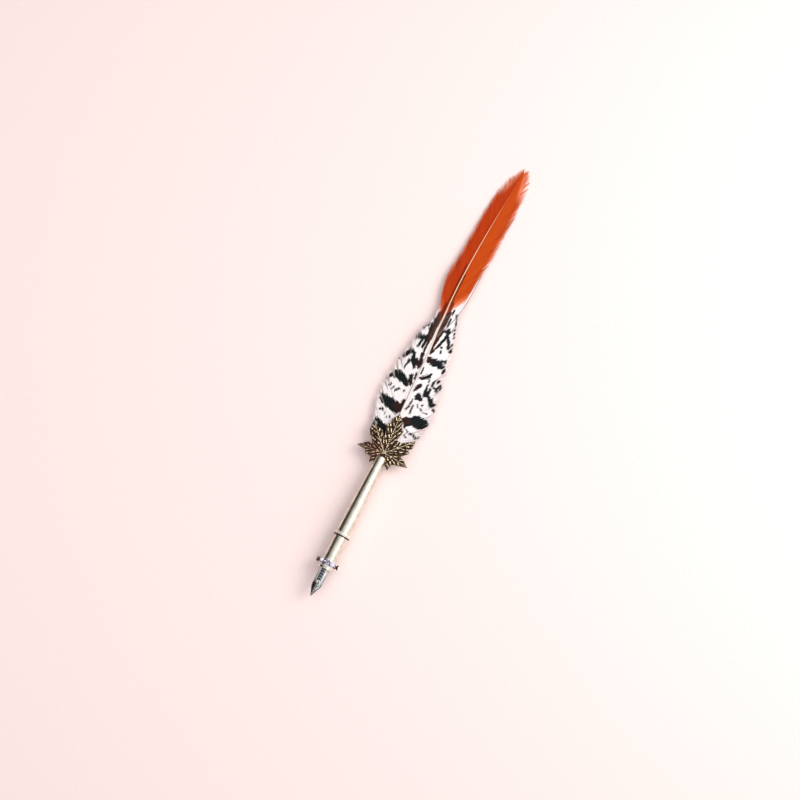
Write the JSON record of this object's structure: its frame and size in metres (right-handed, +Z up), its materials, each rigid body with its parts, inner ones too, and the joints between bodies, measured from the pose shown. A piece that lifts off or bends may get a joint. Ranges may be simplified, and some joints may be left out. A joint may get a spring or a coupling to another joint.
{
  "type": "quill dip pen",
  "caption": "Feather dip pen with a replaceable steel nib, a stone-set ring, a tapered metal barrel and a metal maple leaf.",
  "frame": {"origin": "on the surface that the pen lies on, under the middle of its bounding box", "axes": "+Y from the nib to the tip of the feather, +X to the right, +Z up from the surface"},
  "size_m": [0.0339, 0.26, 0.0124],
  "materials": {
    "nib_steel": "polished",
    "socket_brass": "satin",
    "spring_steel": "satin",
    "pale_gold": "satin champagne plating",
    "ring_metal": "polished",
    "leaf_bronze": "antique bronze with rubbed high spots",
    "stone": "cut and polished",
    "cork": "raw",
    "quill": "natural quill",
    "vane": "natural feather, white and black below and orange above"
  },
  "bodies": {
    "holder": {"barrel_tube": "pale_gold", "maple_leaf": "leaf_bronze", "quill_plug": "cork", "quill_shaft": "quill", "vane_left": "vane", "vane_right": "vane"},
    "ring": {"middle_ring": "pale_gold"},
    "grip": {"grip_tube": "pale_gold", "front_flange": "pale_gold", "bead_ring": "ring_metal", "nib_socket": "socket_brass", "spring_clutch": "spring_steel", "stone_1": "stone", "stone_2": "stone", "stone_3": "stone", "stone_4": "stone", "stone_5": "stone", "stone_6": "stone"},
    "nib": {"nib": "nib_steel"}
  },
  "joints": [
    {"name": "grip_withdraw", "type": "slide", "parent": "holder", "child": "ring", "axis": [0, -1, 0], "range_m": [0, 0.006]},
    {"name": "grip_unscrew", "type": "hinge", "parent": "ring", "child": "grip", "pos_m": [0.0019, -0.096, 0.00621], "axis": [0, -1, 0], "range_deg": [0, 2160]},
    {"name": "nib_pull", "type": "slide", "parent": "grip", "child": "nib", "axis": [0, -1, 0], "range_m": [0, 0.022]}
  ],
  "couplings": [
    {"joint": "grip_unscrew", "follows": "grip_withdraw", "rad_per_m": 6283}
  ]
}
